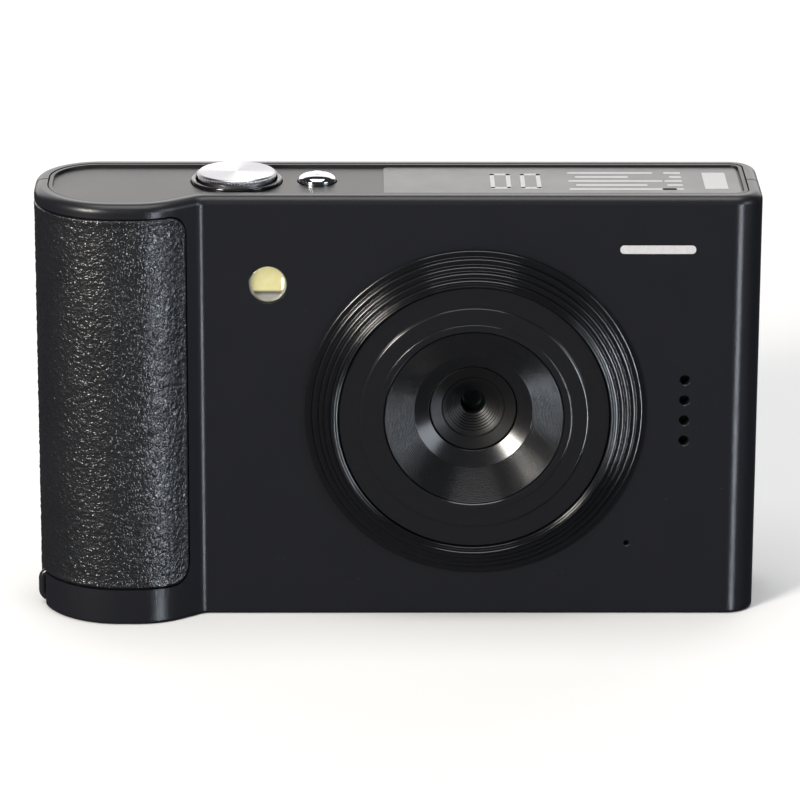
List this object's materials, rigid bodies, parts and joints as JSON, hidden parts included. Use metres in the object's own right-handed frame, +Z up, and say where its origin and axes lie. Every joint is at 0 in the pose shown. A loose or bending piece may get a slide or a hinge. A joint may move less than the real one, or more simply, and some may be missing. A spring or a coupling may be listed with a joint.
{
  "type": "compact digital camera",
  "caption": "Compact digital camera with a fixed lens in a stepped round trim, a padded hand grip, top shutter and power buttons and a rear display with keys.",
  "frame": {"origin": "on the surface that the camera stands on, under the middle of its overall box", "axes": "+X to the right seen from the front, so the grip is at -X; +Y from the lens side to the display side; +Z up"},
  "size_m": [0.1084, 0.0264, 0.0665],
  "materials": {
    "case_plastic": "satin black painted plastic",
    "top_plastic": "satin black plastic",
    "leatherette": "pebbled black leatherette",
    "strap_metal": "black enamelled wire",
    "lens_black": "semi-gloss black turned trim",
    "hood_black": "flat black",
    "lens_glass": "coated glass",
    "flash_clear": "clear polycarbonate",
    "phosphor": "yellow phosphor",
    "spun_metal": "spun and polished",
    "collar_black": "glossy black",
    "chrome": "bright plated",
    "label": "dark grey printed label",
    "screen_black": "clear over black",
    "key_black": "satin black keys",
    "circuit_board": "solder mask green",
    "led_board": "white aluminium board",
    "component_black": "moulded black",
    "metal_part": "plain metal",
    "gold_contact": "gold plated",
    "ribbon_film": "amber film",
    "filter_glass": "blue-green filter glass",
    "sensor_die": "sensor package",
    "battery_wrap": "printed wrap",
    "screw_black": "blackened steel",
    "light_clear": "milky light pipe"
  },
  "bodies": {
    "camera_body": {"front_shell": "case_plastic", "rear_cover": "case_plastic", "top_plate": "top_plastic", "grip_pad": "leatherette", "strap_bar": "strap_metal", "lens_ring": "lens_black", "lens_front_plate": "lens_black", "lens_funnel": "lens_black", "lens_hood": "hood_black", "lens_barrel": "component_black", "front_element": "lens_glass", "infrared_filter": "filter_glass", "image_sensor": "sensor_die", "sensor_board": "circuit_board", "flash_window": "flash_clear", "flash_led": "phosphor", "flash_board": "led_board", "shutter_collar": "collar_black", "shutter_switch": "component_black", "power_switch": "component_black", "top_key_board": "circuit_board", "rating_label": "label", "display_window": "screen_black", "lcd_module": "metal_part", "main_board": "circuit_board", "rear_key_board": "circuit_board", "key_dome_sheet": "metal_part", "key_ribbon": "ribbon_film", "status_light": "light_clear", "speaker": "component_black", "microphone": "metal_part", "battery": "battery_wrap", "battery_contacts": "gold_contact", "battery_box": "component_black", "battery_door_pin": "metal_part", "tripod_nut": "metal_part", "usb_socket": "metal_part", "card_socket": "metal_part", "case_screw_1": "screw_black", "case_screw_2": "screw_black", "case_screw_3": "screw_black", "case_screw_4": "screw_black"},
    "shutter_button": {"shutter_button": "spun_metal"},
    "power_button": {"power_button": "chrome"},
    "battery_door": {"battery_door": "case_plastic"},
    "zoom_in_key": {"zoom_in_key": "key_black"},
    "zoom_out_key": {"zoom_out_key": "key_black"},
    "mode_key": {"mode_key": "key_black"},
    "menu_key": {"menu_key": "key_black"},
    "playback_key": {"playback_key": "key_black"},
    "delete_key": {"delete_key": "key_black"},
    "up_key": {"up_key": "key_black"},
    "down_key": {"down_key": "key_black"},
    "left_key": {"left_key": "key_black"},
    "right_key": {"right_key": "key_black"},
    "ok_key": {"ok_key": "key_black"}
  },
  "joints": [
    {"name": "shutter_press", "type": "slide", "parent": "camera_body", "child": "shutter_button", "axis": [0, 0, -1], "range_m": [0, 0.0008], "stiffness_N_per_m": 900},
    {"name": "power_press", "type": "slide", "parent": "camera_body", "child": "power_button", "axis": [0, 0, -1], "range_m": [0, 0.0005], "stiffness_N_per_m": 900},
    {"name": "zoom_in_press", "type": "slide", "parent": "camera_body", "child": "zoom_in_key", "axis": [0, -1, 0], "range_m": [0, 0.0003], "stiffness_N_per_m": 900},
    {"name": "zoom_out_press", "type": "slide", "parent": "camera_body", "child": "zoom_out_key", "axis": [0, -1, 0], "range_m": [0, 0.0003], "stiffness_N_per_m": 900},
    {"name": "mode_press", "type": "slide", "parent": "camera_body", "child": "mode_key", "axis": [0, -1, 0], "range_m": [0, 0.0003], "stiffness_N_per_m": 900},
    {"name": "menu_press", "type": "slide", "parent": "camera_body", "child": "menu_key", "axis": [0, -1, 0], "range_m": [0, 0.0003], "stiffness_N_per_m": 900},
    {"name": "playback_press", "type": "slide", "parent": "camera_body", "child": "playback_key", "axis": [0, -1, 0], "range_m": [0, 0.0003], "stiffness_N_per_m": 900},
    {"name": "delete_press", "type": "slide", "parent": "camera_body", "child": "delete_key", "axis": [0, -1, 0], "range_m": [0, 0.0003], "stiffness_N_per_m": 900},
    {"name": "up_press", "type": "slide", "parent": "camera_body", "child": "up_key", "axis": [0, -1, 0], "range_m": [0, 0.0003], "stiffness_N_per_m": 900},
    {"name": "down_press", "type": "slide", "parent": "camera_body", "child": "down_key", "axis": [0, -1, 0], "range_m": [0, 0.0003], "stiffness_N_per_m": 900},
    {"name": "left_press", "type": "slide", "parent": "camera_body", "child": "left_key", "axis": [0, -1, 0], "range_m": [0, 0.0003], "stiffness_N_per_m": 900},
    {"name": "right_press", "type": "slide", "parent": "camera_body", "child": "right_key", "axis": [0, -1, 0], "range_m": [0, 0.0003], "stiffness_N_per_m": 900},
    {"name": "ok_press", "type": "slide", "parent": "camera_body", "child": "ok_key", "axis": [0, -1, 0], "range_m": [0, 0.0003], "stiffness_N_per_m": 900},
    {"name": "battery_door_hinge", "type": "hinge", "parent": "camera_body", "child": "battery_door", "pos_m": [-0.01243, -0.00217, 0.0013], "axis": [0, -1, 0], "range_deg": [0, 95]}
  ]
}
